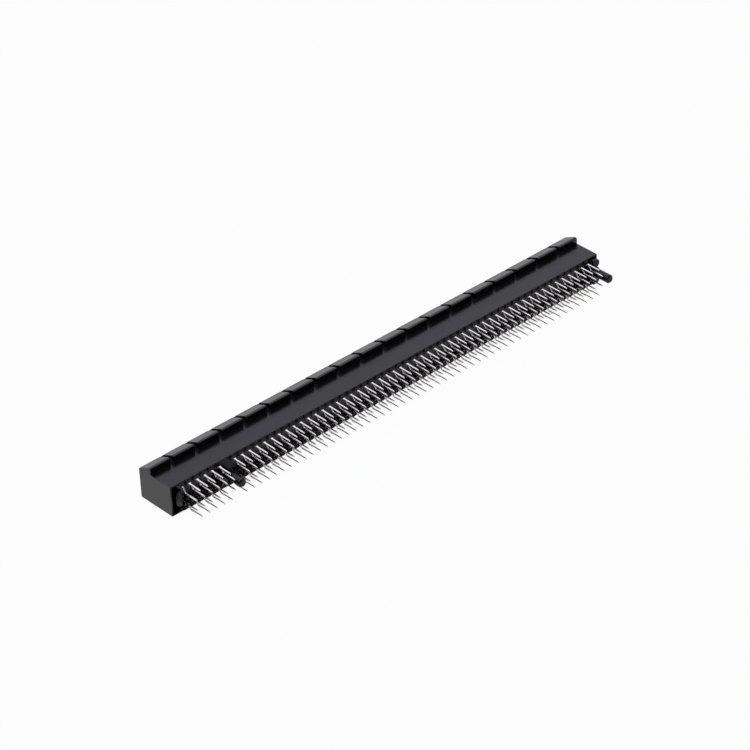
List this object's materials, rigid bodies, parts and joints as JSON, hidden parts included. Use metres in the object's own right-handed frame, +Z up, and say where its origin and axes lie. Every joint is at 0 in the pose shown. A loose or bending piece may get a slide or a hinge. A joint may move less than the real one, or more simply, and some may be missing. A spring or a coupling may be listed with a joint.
{
  "type": "pci express connector",
  "caption": "Long straight card edge connector for a circuit board: dark moulded housing with a keyed slot, a notched wedge ridge, two locating pegs and rows of sprung tin-plated contacts.",
  "frame": {"origin": "middle of the base of the part's bounding box, as it lies on its plain long side", "axes": "+X along the slot from the short run towards the long run, +Y the way the mating face looks (tails and pegs point -Y), +Z up, through the ridge side"},
  "size_m": [0.122, 0.0154, 0.0087],
  "materials": {
    "housing": "semi-gloss glass-filled moulding",
    "contacts": "bright tin plating on copper alloy strip"
  },
  "bodies": {
    "root": {"housing": "housing", "contacts_001_002": "contacts", "contacts_003_004": "contacts", "contacts_005_006": "contacts", "contacts_007_008": "contacts", "contacts_009_010": "contacts", "contacts_011": "contacts", "contacts_012_013": "contacts", "contacts_014_015": "contacts", "contacts_016_017": "contacts", "contacts_018_019": "contacts", "contacts_020_021": "contacts", "contacts_022_023": "contacts", "contacts_024_025": "contacts", "contacts_026_027": "contacts", "contacts_028_029": "contacts", "contacts_030_031": "contacts", "contacts_032_033": "contacts", "contacts_034_035": "contacts", "contacts_036_037": "contacts", "contacts_038_039": "contacts", "contacts_040_041": "contacts", "contacts_042_043": "contacts", "contacts_044_045": "contacts", "contacts_046_047": "contacts", "contacts_048_049": "contacts", "contacts_050_051": "contacts", "contacts_052_053": "contacts", "contacts_054_055": "contacts", "contacts_056_057": "contacts", "contacts_058_059": "contacts", "contacts_060_061": "contacts", "contacts_062_063": "contacts", "contacts_064_065": "contacts", "contacts_066_067": "contacts", "contacts_068_069": "contacts", "contacts_070_071": "contacts", "contacts_072_073": "contacts", "contacts_074_075": "contacts", "contacts_076_077": "contacts", "contacts_078_079": "contacts", "contacts_080_081": "contacts", "contacts_082_083": "contacts", "contacts_084_085": "contacts", "contacts_086_087": "contacts", "contacts_088_089": "contacts", "contacts_090_091": "contacts", "contacts_092_093": "contacts", "contacts_094_095": "contacts", "contacts_096_097": "contacts", "contacts_098_099": "contacts", "contacts_100_101": "contacts", "contacts_102_103": "contacts", "contacts_104_105": "contacts", "contacts_106_107": "contacts", "contacts_108_109": "contacts", "contacts_110_111": "contacts", "contacts_112_113": "contacts", "contacts_114_115": "contacts"}
  },
  "joints": []
}
